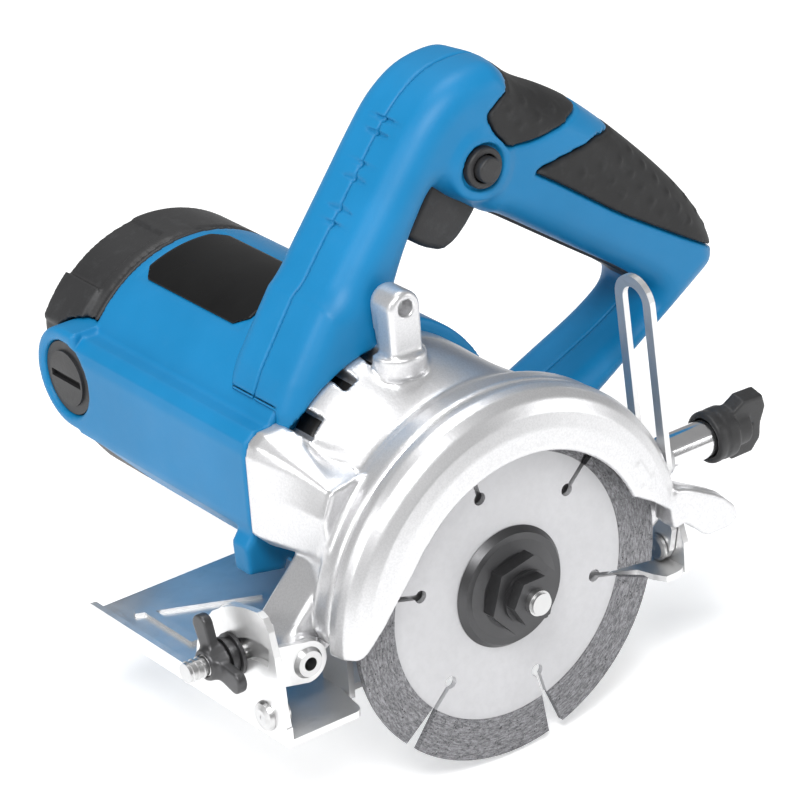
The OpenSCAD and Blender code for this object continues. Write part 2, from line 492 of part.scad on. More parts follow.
module handle_cuts() {
  // seat on the round motor housing and on the neck of the gear housing
  xz(y_if, 90) offset(delta = 0.02) polygon(motor2d());
  xz(28, y_if + 0.02) offset(delta = 0.02) polygon(neck2d());
  xz(28, y_if + 0.02) polygon([[-62, 38], [-62, 78], [-45.5, 77], [-38, 40]]);
  cy(S, 28, 36.1, 19.5, 64);
  // pads and strip
  pad_zone(pad1, 0.02); pad_zone(pad2, 0.02);
  xz(handle_y - 6.02, handle_y + 6.02) offset(delta = 0.02) polygon(strip2d);
  // trigger slot and switch room
  xz(handle_y - 9, handle_y + 9) polygon([nd(-67.5, 104), nd(-45.9, 104), nd(-45.9, 127), nd(-67.5, 127)]);
  xz(handle_y - 10, handle_y + 10) polygon([nd(-66.4, 126), nd(-46.6, 126), nd(-46.6, 143.4), nd(-66.4, 143.4)]);
  // lock button bore
  cy([25.8, 135.1], 20, handle_y - 8.9, 4.05);
  cy([25.8, 135.1], 36, 42.05, 6.2);
  for (p = handle_screw_at) { cy(p, handle_y - 8, 80, 1.8, 24); cy(p, handle_y + 13, 80, 3.6, 24); }
}
module handle_shell_blade_side() {
  color("deepskyblue") difference() {
    side(1) shell_layers();
    handle_cuts();
    // raised collar is a separate ring, pillar ribs sit on the seam
    translate([-80, 20, 60]) cube([200, 14, 4]);
  }
}
module handle_shell_motor_side() {
  color("deepskyblue") difference() {
    side(-1) shell_layers();
    handle_cuts();
    // foot narrows towards the motor
    translate([-49, handle_y + 4, 60]) rotate([0, 0, 58]) translate([-20, 0, 0]) cube([80, 30, 42]);
  }
}
module pads(z) { difference() { intersection() { union() { side(1) shell_layers(); side(-1) shell_layers(); } pad_zone(z, 0); } for (p = handle_screw_at) cy(p, handle_y + 2, 80, 3.6, 24); } }
module grip_pad_front() { color("dimgray") pads(pad1); }
module grip_pad_rear() { color("dimgray") pads(pad2); }
module grip_underside_strip() { color("dimgray") xz(handle_y - 6, handle_y + 6) intersection() { grip2d(-1); polygon(strip2d); } }
module switch_body() {
  color("black") difference() { xz(handle_y - 9.9, handle_y + 9.9) polygon([nd(-66.3, 128.6), nd(-46.7, 128.6), nd(-46.7, 143.3), nd(-66.3, 143.3)]); for (p = handle_screw_at) cy(p, handle_y - 20, 80, 2.2, 24); }
}
module switch_trigger() {
  color("dimgray") xz(handle_y - 8.5, handle_y + 8.5)
    polygon([nd(-67.1, 97.5), nd(-65, 95.4), nd(-58, 95.2), nd(-51, 96.6), nd(-48, 101), nd(-46.5, 108), nd(-46.3, 120.4), nd(-67.1, 120.4)]);
}
module lock_on_button() { color("dimgray") { cy([25.8, 135.1], 29.6, 38.7, 4); cy([25.8, 135.1], 36.5, 38.3, 5.8); } }
module lock_button_collar() {
  color("dimgray") difference() { union() { cy([25.8, 135.1], 32.4, 34, 6.4); } cy([25.8, 135.1], 20, 50, 4.1); }
}
module handle_screws() { color("silver") for (p = handle_screw_at) { cy(p, handle_y - 7.5, handle_y + 13, 1.75, 24); cy(p, handle_y + 13, handle_y + 15.4, 3.5, 24); } }
module housing_screws() {
  color("silver") {
    for (p = joint_screws) { cy(p, 29.2, 52.8, 1.9, 24); cy(p, 26.8, 29.2, 3.6, 24); }
    for (p = cap_screws_at) { cy(p, 113, y_end - 8, 1.9, 24); cy(p, y_end - 8, y_end - 5.2, 3.6, 24); }
  }
}
// ---------- depth lock ----------
module depth_lock_stud() { color("silver") cx(bolt_y, bolt_z, 51, 101, 3, 32); }
module depth_lock_sleeve() {
  color("white") difference() {
    translate([68.4, bolt_y, bolt_z]) rotate([0, 90, 0]) rotate_extrude($fn = 48) polygon([[3.05, 0], [4.4, 0], [6, 1], [6, 21], [3.05, 21]]);
  }
}
module depth_lock_knob() {
  color("dimgray") difference() {
    union() {
      translate([86, bolt_y, bolt_z]) rotate([0, 90, 0]) rotate_extrude($fn = 40) polygon([[0, 0], [7.6, 0], [8.4, 1], [8.4, 7], [6.8, 10], [0, 10]]);
      translate([0, bolt_y, bolt_z]) rotate([14, 0, 0]) xz(-3.4, 3.4) polygon([[91, -8], [96, -11.6], [105, -11.2], [108.4, -6], [108.4, 6], [107, 11.6], [98, 12.2], [91, 8]]);
    }
    cx(bolt_y, bolt_z, 80, 89.8, 6.35, 40);
    cx(bolt_y, bolt_z, 80, 103, 3.05, 32);
  }
}

base_plate();
bevel_rivets();
front_tilt_bracket();
rear_tilt_bracket();
bevel_stud();
stud_washers();
wing_nut();
depth_pivot_pin();
depth_guide_bar();
guide_hinge_pin();
gear_housing();
blade_guard();
spindle_bearings();
armature_bearings();
spindle_shaft();
spindle_gear();
inner_flange();
blade_core();
blade_segments();
outer_flange();
flange_nut();
armature_shaft();
armature_core();
armature_windings();
commutator();
cooling_fan();
drive_pinion();
stator_core();
field_windings();
motor_housing();
end_cap();
label_plate();
brush_holders();
carbon_brushes();
brush_springs();
brush_caps();
handle_shell_blade_side();
handle_shell_motor_side();
grip_pad_front();
grip_pad_rear();
grip_underside_strip();
switch_body();
switch_trigger();
lock_on_button();
lock_button_collar();
handle_screws();
housing_screws();
depth_lock_stud();
depth_lock_sleeve();
depth_lock_knob();
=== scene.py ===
import json
import math
import bpy
import numpy as np
from mathutils import Matrix, Vector


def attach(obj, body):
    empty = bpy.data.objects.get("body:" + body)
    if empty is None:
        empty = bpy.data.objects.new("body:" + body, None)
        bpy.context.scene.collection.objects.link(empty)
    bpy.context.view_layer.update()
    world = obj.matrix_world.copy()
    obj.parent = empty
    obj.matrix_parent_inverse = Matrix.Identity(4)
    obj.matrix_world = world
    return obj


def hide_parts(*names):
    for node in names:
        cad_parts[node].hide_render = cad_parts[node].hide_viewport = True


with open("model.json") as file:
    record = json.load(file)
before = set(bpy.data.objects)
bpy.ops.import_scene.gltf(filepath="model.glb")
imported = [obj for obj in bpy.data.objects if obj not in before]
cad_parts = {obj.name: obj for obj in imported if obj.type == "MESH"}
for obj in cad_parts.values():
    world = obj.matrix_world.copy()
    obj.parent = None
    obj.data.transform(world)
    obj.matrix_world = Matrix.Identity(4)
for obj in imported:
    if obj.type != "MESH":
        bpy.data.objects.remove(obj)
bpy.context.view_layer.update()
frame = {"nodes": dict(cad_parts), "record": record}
rng = np.random.default_rng(7)
K = 1.0          # grid coarsening for trial renders

# ------------------------------------------------------------------ dimensions (mm, frame axes)
SX, SZ = 0.0, 20.0
MX, MZ = -10.9, 42.7
CX, CZ, RC = -13.6, 50.1, 45.3
PX, PZ = -66.7, 17.0
HY = 52.0


# ------------------------------------------------------------------ distance fields
def axes3(lo, hi, h):
    g = [np.arange(lo[i] - 2 * h, hi[i] + 2.5 * h, h, dtype=np.float32) for i in range(3)]
    return g[0][:, None, None], g[1][None, :, None], g[2][None, None, :]


def chaikin(P, n=2, keep=0.25):
    P = np.array(P, float)
    for _ in range(n):
        Q = np.roll(P, -1, 0)
        P = np.stack([P * (1 - keep) + Q * keep, P * keep + Q * (1 - keep)], 1).reshape(-1, 2)
    return P


def sd_poly(P, u, v):
    """signed distance to polygon P on broadcast arrays u, v"""
    P = np.array(P, np.float32)
    u, v = np.broadcast_arrays(u, v)
    d = np.full(u.shape, 1e9, np.float32)
    ins = np.zeros(u.shape, bool)
    for a, b in zip(P, np.roll(P, -1, 0)):
        e = b - a
        wu, wv = u - a[0], v - a[1]
        t = np.clip((wu * e[0] + wv * e[1]) / max(float(e @ e), 1e-9), 0, 1)
        d = np.minimum(d, (wu - e[0] * t) ** 2 + (wv - e[1] * t) ** 2)
        if a[1] != b[1]:
            c = (a[1] > v) != (b[1] > v)
            ins ^= c & (u < (b[0] - a[0]) * (v - a[1]) / (b[1] - a[1]) + a[0])
    d = np.sqrt(d)
    return np.where(ins, -d, d).astype(np.float32)


def extr(d2, a, lo, hi, r):
    w1 = d2 + r
    w2 = np.maximum(lo - a, a - hi) + r
    return np.minimum(np.maximum(w1, w2), 0) + np.sqrt(np.maximum(w1, 0) ** 2 + np.maximum(w2, 0) ** 2) - r


def smin(a, b, k):
    h = np.clip(0.5 + 0.5 * (b - a) / k, 0, 1)
    return b + (a - b) * h - k * h * (1 - h)


def smax(a, b, k):
    return -smin(-a, -b, k)


def circ(u, v, cu, cv, r):
    return np.sqrt((u - cu) ** 2 + (v - cv) ** 2) - r


def arc(cx, cz, r, a0, a1, n):
    return [(cx + r * math.cos(math.radians(a0 + (a1 - a0) * i / n)), cz + r * math.sin(math.radians(a0 + (a1 - a0) * i / n))) for i in range(n + 1)]


def sm(t):
    t = np.clip(t, 0, 1)
    return t * t * (3 - 2 * t)


def nets(V, lo, h):
    """surface nets: vertices (mm) and quads of the zero level"""
    V = V.astype(np.float32)
    ins = V < 0
    n = np.array(V.shape)
    c = [(slice(i, n[0] - 1 + i), slice(j, n[1] - 1 + j), slice(k, n[2] - 1 + k)) for i in (0, 1) for j in (0, 1) for k in (0, 1)]
    cnt = sum(ins[s].astype(np.int8) for s in c)
    act = (cnt > 0) & (cnt < 8)
    idx = np.full(act.shape, -1, np.int64)
    I = np.argwhere(act)
    idx[act] = np.arange(len(I))
    pos = np.zeros((len(I), 3))
    num = np.zeros(len(I))
    off = [(i, j, k) for i in (0, 1) for j in (0, 1) for k in (0, 1)]
    for a in off:
        for ax in range(3):
            if a[ax] == 1:
                continue
            b = list(a)
            b[ax] = 1
            va = V[I[:, 0] + a[0], I[:, 1] + a[1], I[:, 2] + a[2]]
            vb = V[I[:, 0] + b[0], I[:, 1] + b[1], I[:, 2] + b[2]]
            m = (va < 0) != (vb < 0)
            t = np.zeros(len(I))
            t[m] = va[m] / (va[m] - vb[m])
            p = np.array(a, float)[None, :] + t[:, None] * (np.array(b, float) - np.array(a, float))[None, :]
            pos[m] += p[m]
            num[m] += 1
    pos = (pos / num[:, None] + I) * h + np.array(lo)[None, :]
    quads = []
    for ax in range(3):
        o = [x for x in range(3) if x != ax]
        sl0 = [slice(None)] * 3
        sl1 = [slice(None)] * 3
        sl0[ax] = slice(0, n[ax] - 1)
        sl1[ax] = slice(1, n[ax])
        A, B = ins[tuple(sl0)], ins[tuple(sl1)]
        E = np.argwhere(A != B)
        E = E[(E[:, o[0]] > 0) & (E[:, o[1]] > 0) & (E[:, o[0]] < n[o[0]] - 1) & (E[:, o[1]] < n[o[1]] - 1)]
        flip = A[E[:, 0], E[:, 1], E[:, 2]]
        q = []
        for du, dv in ((1, 1), (0, 1), (0, 0), (1, 0)):
            F = E.copy()
            F[:, o[0]] -= du
            F[:, o[1]] -= dv
            q.append(idx[F[:, 0], F[:, 1], F[:, 2]])
        q = np.stack(q, 1)
        if ax == 1:
            flip = ~flip
        q[~flip] = q[~flip][:, ::-1]
        quads.append(q)
    q = np.concatenate(quads)
    return pos, q[(q >= 0).all(1)]


def add_mesh(name, verts_mm, faces, mat, body, replaces=(), smooth=True):
    me = bpy.data.meshes.new(name)
    v = (np.asarray(verts_mm) / 1000.0).astype(np.float32)
    f = np.asarray(faces, np.int32)
    k = f.shape[1]
    me.vertices.add(len(v))
    me.vertices.foreach_set("co", v.ravel())
    me.loops.add(f.size)
    me.loops.foreach_set("vertex_index", f.ravel())
    me.polygons.add(len(f))
    me.polygons.foreach_set("loop_start", np.arange(0, f.size, k, dtype=np.int32))
    me.polygons.foreach_set("loop_total", np.full(len(f), k, np.int32))
    me.update(calc_edges=True)
    me.validate()
    if smooth:
        me.polygons.foreach_set("use_smooth", np.ones(len(me.polygons), bool))
    me.materials.append(mat)
    ob = bpy.data.objects.new(name, me)
    bpy.context.scene.collection.objects.link(ob)
    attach(ob, body)
    if replaces:
        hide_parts(*replaces)
    return ob


def add_field(name, V, ax, h, mat, body, replaces=()):
    lo = (float(ax[0].ravel()[0]), float(ax[1].ravel()[0]), float(ax[2].ravel()[0]))
    v, q = nets(np.broadcast_to(V, (ax[0].size, ax[1].size, ax[2].size)), lo, h)
    return add_mesh(name, v, q, mat, body, replaces)


# ------------------------------------------------------------------ materials
class N:
    def __init__(self, name):
        self.m = bpy.data.materials.new(name)
        self.m.use_nodes = True
        self.t = self.m.node_tree
        self.t.nodes.clear()
        self.out = self.t.nodes.new("ShaderNodeOutputMaterial")
        self.b = self.t.nodes.new("ShaderNodeBsdfPrincipled")
        self.t.links.new(self.b.outputs[0], self.out.inputs[0])
        self.co = self.t.nodes.new("ShaderNodeTexCoord").outputs["Object"]

    def n(self, kind, **kw):
        x = self.t.nodes.new(kind)
        for k, v in kw.items():
            if k in x.inputs:
                x.inputs[k].default_value = v
            else:
                setattr(x, k, v)
        return x

    def l(self, a, b):
        self.t.links.new(a, b)

    def noise(self, scale, detail=4.0, rough=0.55, vec=None, dist=0.0):
        x = self.n("ShaderNodeTexNoise", Scale=scale, Detail=detail, Roughness=rough, Distortion=dist)
        self.l(vec if vec is not None else self.co, x.inputs["Vector"])
        return x.outputs["Fac"]

    def voro(self, scale, feature="F1", vec=None, out="Distance", rnd=1.0):
        x = self.n("ShaderNodeTexVoronoi", feature=feature, Scale=scale, Randomness=rnd)
        self.l(vec if vec is not None else self.co, x.inputs["Vector"])
        return x.outputs[out]

    def ramp(self, fac, stops):
        x = self.n("ShaderNodeValToRGB")
        cr = x.color_ramp
        while len(cr.elements) < len(stops):
            cr.elements.new(0.5)
        for e, (p, c) in zip(cr.elements, stops):
            e.position = p
            e.color = (c, c, c, 1) if isinstance(c, (int, float)) else (*c, 1)
        self.l(fac, x.inputs[0])
        return x.outputs[0]

    def mix(self, fac, a, b, mode="MIX"):
        x = self.n("ShaderNodeMixRGB", blend_type=mode)
        for s, v in ((0, fac), (1, a), (2, b)):
            if hasattr(v, "is_linked") or hasattr(v, "links"):
                self.l(v, x.inputs[s])
            else:
                x.inputs[s].default_value = v if s == 0 else (*v, 1)
        return x.outputs[0]

    def math(self, op, a, b=0.0, c=None):
        x = self.n("ShaderNodeMath", operation=op)
        for s, v in ((0, a), (1, b), (2, c)):
            if v is None:
                continue
            if hasattr(v, "links"):
                self.l(v, x.inputs[s])
            else:
                x.inputs[s].default_value = v
        return x.outputs[0]

    def bump(self, height, strength, dist, normal=None):
        x = self.n("ShaderNodeBump", Strength=strength, Distance=dist)
        self.l(height, x.inputs["Height"])
        if normal is not None:
            self.l(normal, x.inputs["Normal"])
        return x.outputs[0]

    def point(self, lo=0.5, hi=0.56):
        g = self.n("ShaderNodeNewGeometry")
        return self.ramp(g.outputs["Pointiness"], [(lo, 0.0), (hi, 1.0)])

    def set(self, **kw):
        for k, v in kw.items():
            k = k.replace("_", " ")
            s = self.b.inputs[k]
            if hasattr(v, "links"):
                self.l(v, s)
            elif isinstance(v, tuple):
                s.default_value = (*v, 1) if len(v) == 3 else v
            else:
                s.default_value = v
        return self.m


def plastic(name, col, rough, grain, depth, spec=0.5, lift=0.06, coat=0.0):
    s = N(name)
    fine = s.noise(grain, 5.0, 0.6)
    big = s.noise(28.0, 3.0)
    dust = s.ramp(s.noise(240.0, 6.0, 0.7), [(0.52, 0.0), (0.78, 1.0)])
    c = s.mix(s.ramp(big, [(0.3, 0.0), (0.7, 1.0)]), tuple(x * 0.93 for x in col), tuple(min(1, x * 1.05 + 0.004) for x in col))
    c = s.mix(s.math("MULTIPLY", dust, lift * 0.45), c, (0.4, 0.42, 0.44))
    c = s.mix(s.math("MULTIPLY", s.point(0.53, 0.62), 0.22), c, tuple(min(1, x * 1.25 + 0.05) for x in col))
    r = s.math("ADD", s.math("MULTIPLY", s.noise(90.0, 4.0), 0.16), rough - 0.08)
    n1 = s.bump(fine, 0.55, depth)
    n2 = s.bump(s.voro(grain * 1.4), 0.35, depth * 0.8, n1)
    s.set(Base_Color=c, Roughness=r, Normal=n2)
    s.b.inputs["Specular IOR Level"].default_value = spec
    s.b.inputs["Coat Weight"].default_value = coat
    s.b.inputs["Coat Roughness"].default_value = 0.25
    return s.m


def metal(name, col, rough, grain=600.0, depth=2e-5, aniso=None, metallic=1.0, dirt=0.25, stretch=None, spangle=0.0):
    s = N(name)
    vec = s.co
    if stretch:
        mp = s.n("ShaderNodeMapping")
        mp.inputs["Scale"].default_value = stretch
        s.l(s.co, mp.inputs["Vector"])
        vec = mp.outputs[0]
    fine = s.noise(grain, 6.0, 0.65, vec)
    big = s.noise(45.0, 5.0, 0.6)
    c = s.mix(s.ramp(big, [(0.32, 0.0), (0.72, 1.0)]), tuple(x * 0.86 for x in col), col)
    if spangle:
        vo = s.voro(spangle, out="Color")
        sp = s.n("ShaderNodeRGBToBW")
        s.l(vo, sp.inputs[0])
        c = s.mix(s.math("MULTIPLY", sp.outputs[0], 0.22), c, tuple(min(1, x * 1.2) for x in col))
    stain = s.ramp(s.noise(130.0, 7.0, 0.7), [(0.56, 0.0), (0.74, 1.0)])
    c = s.mix(s.math("MULTIPLY", stain, dirt), c, tuple(x * 0.45 for x in col))
    r = s.math("ADD", s.math("MULTIPLY", s.noise(170.0, 5.0), 0.22), rough - 0.11)
    r = s.math("ADD", r, s.math("MULTIPLY", fine, 0.06))
    n1 = s.bump(fine, 0.5, depth)
    s.set(Base_Color=c, Roughness=r, Metallic=metallic, Normal=n1)
    return s.m


def cast(name, col, rough):
    s = N(name)
    g1 = s.noise(1500.0, 4.0, 0.7)
    g2 = s.voro(900.0)
    big = s.noise(24.0, 4.0)
    # painted glints: bright specks in the base colour stand in for light catching the cast grain
    painted_glint = s.ramp(s.voro(1300.0, out="Distance"), [(0.0, 1.0), (0.22, 0.0)])
    c = s.mix(s.ramp(big, [(0.3, 0.0), (0.7, 1.0)]), tuple(x * 0.93 for x in col), col)
    c = s.mix(s.math("MULTIPLY", s.ramp(g1, [(0.42, 0.0), (0.6, 1.0)]), 0.35), c, tuple(x * 0.72 for x in col))
    c = s.mix(s.math("MULTIPLY", painted_glint, 0.5), c, (0.95, 0.95, 0.97))
    c = s.mix(s.math("MULTIPLY", s.point(0.54, 0.64), 0.35), c, (0.85, 0.85, 0.86))
    r = s.math("ADD", s.math("MULTIPLY", g1, 0.2), rough - 0.1)
    n1 = s.bump(g1, 0.6, 3.5e-5)
    n2 = s.bump(g2, 0.4, 3.0e-5, n1)
    n3 = s.bump(s.noise(140.0, 3.0), 0.25, 1.2e-4, n2)
    s.set(Base_Color=c, Roughness=r, Metallic=0.82, Normal=n3)
    return s.m


M_BLUE = plastic("blue_shell", (0.001, 0.178, 0.40), 0.46, 900.0, 2.2e-5, 0.32, 0.02)
M_BLACK = plastic("black_plastic", (0.020, 0.020, 0.021), 0.50, 1400.0, 6.0e-5, 0.45, 0.10)
M_RUBBER = plastic("grip_rubber", (0.014, 0.014, 0.0145), 0.62, 1000.0, 5.0e-5, 0.35, 0.07)
M_CAST = cast("cast_alloy", (0.74, 0.74, 0.75), 0.36)
M_ZINC = metal("zinc_sheet", (0.80, 0.80, 0.80), 0.33, 500.0, 1.2e-5, dirt=0.14, spangle=160.0, metallic=0.86)
M_STEEL = metal("steel", (0.62, 0.62, 0.62), 0.28, 700.0, 1.5e-5, dirt=0.3)
M_DARK = metal("dark_steel", (0.085, 0.085, 0.088), 0.36, 800.0, 3.0e-5, dirt=0.3, metallic=0.75)
M_CHROME = metal("chrome", (0.86, 0.86, 0.87), 0.11, 400.0, 0.6e-5, dirt=0.05, stretch=(1, 8, 8))
M_COPPER = metal("copper_wire", (0.45, 0.16, 0.05), 0.35, 1500.0, 1e-4, dirt=0.3, stretch=(1, 12, 1))
M_LAM = metal("lamination", (0.28, 0.28, 0.29), 0.45, 900.0, 1.2e-4, dirt=0.35, stretch=(0.2, 30, 0.2))
M_BRASS = metal("brass", (0.66, 0.45, 0.17), 0.3, 600.0, 2e-5, dirt=0.2)
M_CARBON = plastic("carbon", (0.02, 0.02, 0.021), 0.6, 900.0, 6e-5, 0.4, 0.05)
M_FAN = plastic("fan_nylon", (0.68, 0.62, 0.5), 0.5, 500.0, 3e-5, 0.4, 0.05)
M_LABEL_AND_VENT_SHADE = plastic("label_black", (0.002, 0.002, 0.0022), 0.30, 300.0, 0.5e-5, 0.2, 0.008, 0.0)


def polar(s):
    """radius and angle about the spindle in the shader, from object coordinates"""
    sp = s.n("ShaderNodeSeparateXYZ")
    s.l(s.co, sp.inputs[0])
    x = sp.outputs[0]
    z = s.math("SUBTRACT", sp.outputs[2], 0.020)
    r = s.math("SQRT", s.math("ADD", s.math("MULTIPLY", x, x), s.math("MULTIPLY", z, z)))
    a = s.math("ARCTAN2", z, x)
    return r, a, sp.outputs[1]


def blade_mat():
    s = N("blade_steel")
    r, a, y = polar(s)
    cb = s.n("ShaderNodeCombineXYZ")
    s.l(s.math("MULTIPLY", r, 2600.0), cb.inputs[0])
    s.l(s.math("MULTIPLY", a, 5.0), cb.inputs[1])
    ring = s.noise(1.0, 3.0, 0.6, cb.outputs[0])
    mott = s.noise(420.0, 5.0, 0.65)
    big = s.noise(35.0, 4.0)
    col = (0.56, 0.56, 0.575)
    c = s.mix(s.ramp(big, [(0.3, 0.0), (0.7, 1.0)]), tuple(x * 0.92 for x in col), col)
    c = s.mix(s.math("MULTIPLY", s.ramp(mott, [(0.4, 0.0), (0.66, 1.0)]), 0.28), c, tuple(x * 0.8 for x in col))
    c = s.mix(s.math("MULTIPLY", s.ramp(r, [(0.0402, 0.0), (0.0418, 1.0)]), 0.35), c, (0.4, 0.4, 0.41))
    n1 = s.bump(ring, 0.25, 1.5e-5)
    n2 = s.bump(mott, 0.35, 2.5e-5, n1)
    s.set(Base_Color=c, Metallic=0.35, Roughness=s.math("ADD", s.math("MULTIPLY", ring, 0.15), 0.38), Normal=n2)
    return s.m


def seg_mat():
    s = N("diamond_segment")
    r, a, y = polar(s)
    cb = s.n("ShaderNodeCombineXYZ")
    s.l(s.math("MULTIPLY", r, 1900.0), cb.inputs[0])
    s.l(s.math("MULTIPLY", a, 26.0), cb.inputs[1])
    s.l(s.math("MULTIPLY", y, 1500.0), cb.inputs[2])
    streak = s.noise(1.0, 5.0, 0.7, cb.outputs[0], 0.3)
    pores = s.ramp(s.voro(950.0), [(0.12, 1.0), (0.3, 0.0)])
    pm = s.ramp(s.noise(500.0, 3.0), [(0.46, 0.0), (0.58, 1.0)])
    pores = s.math("MULTIPLY", pores, pm)
    grit = s.noise(2600.0, 4.0, 0.75)
    c = s.ramp(streak, [(0.33, (0.06, 0.06, 0.065)), (0.48, (0.165, 0.165, 0.175)), (0.64, (0.31, 0.31, 0.325))])
    c = s.mix(s.math("MULTIPLY", s.ramp(grit, [(0.5, 0.0), (0.68, 1.0)]), 0.35), c, (0.5, 0.5, 0.52))
    c = s.mix(pores, c, (0.02, 0.02, 0.022))
    n1 = s.bump(streak, 0.7, 1.2e-4)
    n2 = s.bump(s.math("SUBTRACT", grit, pores), 0.7, 1.2e-4, n1)
    s.set(Base_Color=c, Metallic=0.35, Roughness=0.62, Normal=n2)
    return s.m


M_BLADE = blade_mat()
M_SEG = seg_mat()

SLOT = {"blue_shell": M_BLUE, "black_plastic": M_BLACK, "grip_rubber": M_RUBBER, "cast_alloy": M_CAST, "zinc_sheet": M_ZINC, "steel": M_STEEL,
        "dark_steel": M_DARK, "blade_steel": M_BLADE, "diamond_segment": M_SEG, "chrome": M_CHROME, "copper_wire": M_COPPER, "lamination": M_LAM,
        "brass": M_BRASS, "carbon": M_CARBON, "fan_nylon": M_FAN, "label_black": M_LABEL_AND_VENT_SHADE}
slots = {s["node"]: s["material_slot"] for s in frame["record"]["subparts"]}
for name, ob in frame["nodes"].items():
    ob.data.materials.clear()
    ob.data.materials.append(SLOT[slots[name]])


def bevel(node, w, seg=2, ang=35):
    ob = frame["nodes"][node]
    m = ob.modifiers.new("edge", "BEVEL")
    m.width = w
    m.segments = seg
    m.limit_method = "ANGLE"
    m.angle_limit = math.radians(ang)


# ------------------------------------------------------------------ handle
OUT = [(-49.6, 76), (-46, 83.5), (-38, 95.5), (-25.7, 113), (-14.6, 127), (2, 148.4), (8, 155), (14, 159.5), (19.4, 162.2), (25.3, 163.6), (32, 164), (38, 162.8), (42, 159.6), (47, 154.8), (52.4, 151), (61, 146.4), (69.4, 140.8), (75, 136.2), (82, 129.8),
       (93, 119), (101, 110.6), (107.5, 103.2), (113, 95.6), (117, 88), (119.2, 81.6), (119, 76.2), (116.6, 72), (111, 68.4), (101, 62), (86, 52.8), (71.4, 43.6), (28, 18.4), (8, 30), (-20, 60)]
INN = [(-20, 60), (-9, 92), (-6.4, 102), (-2.6, 110.5), (1.4, 118.3), (10.3, 131.9), (13.6, 130.2), (30, 117.2), (35.4, 115.6), (51.6, 104), (69.4, 91.3), (82, 82.6), (90, 76), (92.4, 72.4), (91.8, 68.6), (88, 65.6), (79, 60.6), (56.9, 51.4), (28, 38.5)]
PAD1 = [(29.3, 150), (30.9, 144.5), (35.8, 138.2), (45.5, 137.3), (58.8, 139), (69, 139.3), (82, 150), (60, 176), (46, 172), (41.0, 157.5), (34, 153.5)]
PAD2 = [(44.8, 127.4), (59.7, 129.5), (69.8, 131), (81, 128.5), (96, 142), (140, 100), (134, 77.5), (118, 79), (112.8, 81.8), (99.8, 89.6), (76.7, 104.2), (54.6, 120.6)]
STRIP = [(35.4, 112), (51.6, 100), (90, 73), (93.5, 77), (84, 84.8), (53.2, 107), (37, 119)]


def motor2d():
    return arc(CX, CZ, RC, 146.3, -22, 50) + arc(MX, MZ, 34.8, -46, -138, 20) + [(-57, 41.2), (-59.9, 43.5), (-60.5, 46), (-60.5, 69), (-59.6, 72.6), (-56.7, 75.2)]


def neck2d():
    return arc(CX, CZ, RC - 3.6, 143, -18, 40) + arc(MX, MZ, 33.8, -50, -138, 20) + [(-50, 42)]


def handle_field(ax):
    x, y, z = ax
    x2, z2 = x[:, 0, :], z[0, :, :]
    o = sd_poly(chaikin(OUT, 2), x2, z2)
    i = sd_poly(chaikin(INN, 2, 0.22), x2, z2)
    crown = 0.022 * sm((x - 33) / 10) * np.clip(1 + o[:, None, :] / 16, 0, 1) * (y - HY) ** 2
    d2 = smax(o[:, None, :] + crown, -i[:, None, :], 4.0)
    V = extr(d2, y, HY - 18, HY + 18, 9.0)
    # foot spreads on the blade side
    foot = sd_poly([(-49, 74), (-44, 87), (-31, 106), (-14, 108), (-6, 98), (-9, 80), (-30, 70)], x2, z2)[:, None, :]
    V = smin(V, extr(foot, y, HY - 17.4, HY + 14, 5.0), 6.0)
    # round boss of the lock button
    V = smin(V, extr(circ(x, z, 25.8, 135.1, 10.6), y, HY - 18.6, HY - 8, 1.6), 3.0)
    V = smax(V, -extr(circ(x, z, 25.8, 135.1, 7.4), y, HY - 30, HY - 17.2, 0.5), 0.6)
    # seat on the motor housing and the neck of the gear housing
    m2 = sd_poly(motor2d(), x2, z2)[:, None, :]
    n2 = sd_poly(neck2d(), x2, z2)[:, None, :]
    V = smax(V, -np.maximum(m2 - 0.1, 41.0 - y), 0.8)
    V = smax(V, -np.maximum(n2 - 0.1, np.maximum(y - 41.5, 20 - y)), 0.8)
    return V


h = 0.85 * K
AX = axes3((-52, 33, 16), (121, 71, 166), h)
x, y, z = AX
H = handle_field(AX)
x2, z2 = x[:, 0, :], z[0, :, :]
tilt = (0.8, -0.6), (0.6, 0.8)
nn = 0.8 * x - 0.6 * z
dd = 0.6 * x + 0.8 * z
slotv = np.maximum(np.maximum(np.abs(nn + 56.7) - 10.9, np.maximum(100 - dd, dd - 127)), np.abs(y - HY) - 9.1)
H = np.maximum(H, -slotv)
H = np.maximum(H, -np.maximum(circ(x, z, 25.8, 135.1, 4.3), y - (HY - 8)))
P1 = sd_poly(chaikin(PAD1, 1, 0.12), x2, z2)[:, None, :]
P2 = sd_poly(chaikin(PAD2, 1, 0.12), x2, z2)[:, None, :]
ST = sd_poly(STRIP, x2, z2)[:, None, :]
zone = np.minimum(P1, P2)
body = H.copy()
skin = np.maximum(zone - 0.35, -(H + 2.2))            # outer skin of the pad zones
body = smax(body, -skin, 0.3)
stripv = np.maximum(ST, np.abs(y - HY) - 6.2)
body = smax(body, -stripv, 0.4)
